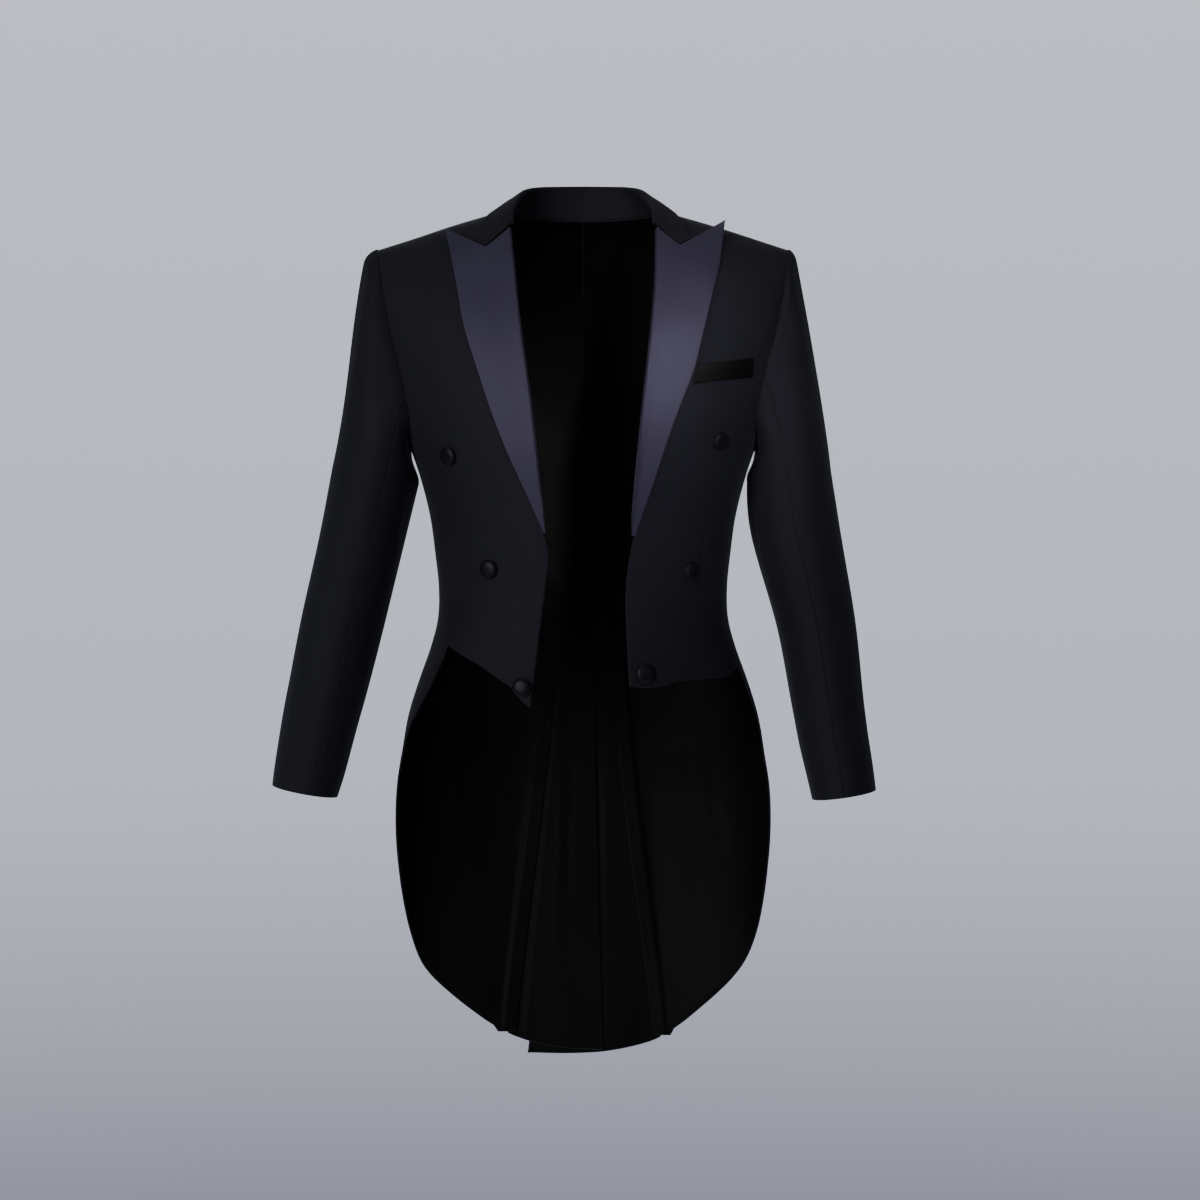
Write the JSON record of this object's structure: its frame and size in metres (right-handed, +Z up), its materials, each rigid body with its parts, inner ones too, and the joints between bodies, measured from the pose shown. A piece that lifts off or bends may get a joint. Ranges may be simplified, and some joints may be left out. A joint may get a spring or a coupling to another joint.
{
  "type": "tailcoat",
  "caption": "Man's black evening tailcoat, worn open: pointed satin lapels, a cutaway front to the waist, covered buttons, a breast welt and long curved tails with a back vent.",
  "frame": {"origin": "in the neck opening, midway between the shoulders and level with the tops of the shoulder seams, where the wearer's neck and shoulders hold the coat", "axes": "+Z up along the body, the front faces -Y, +X is the wearer's left"},
  "size_m": [0.6656, 0.2614, 0.9955],
  "materials": {
    "black_wool": "matt fine twill",
    "black_satin": "satin with a soft sheen",
    "button_cloth": "matt cloth stretched over a shell"
  },
  "bodies": {
    "root": {"back_right": "black_wool", "back_left": "black_wool", "side_body_right": "black_wool", "side_body_left": "black_wool", "front_right": "black_wool", "front_left": "black_wool", "tail_skirt_right": "black_wool", "tail_skirt_left": "black_wool", "top_sleeve_right": "black_wool", "top_sleeve_left": "black_wool", "under_sleeve_right": "black_wool", "under_sleeve_left": "black_wool", "collar": "black_wool", "lapel_right": "black_satin", "lapel_left": "black_satin", "breast_welt": "black_satin", "front_button_right_1": "button_cloth", "front_button_right_2": "button_cloth", "front_button_right_3": "button_cloth", "front_button_left_1": "button_cloth", "front_button_left_2": "button_cloth", "front_button_left_3": "button_cloth", "waist_button_right": "button_cloth", "waist_button_left": "button_cloth"}
  },
  "joints": []
}
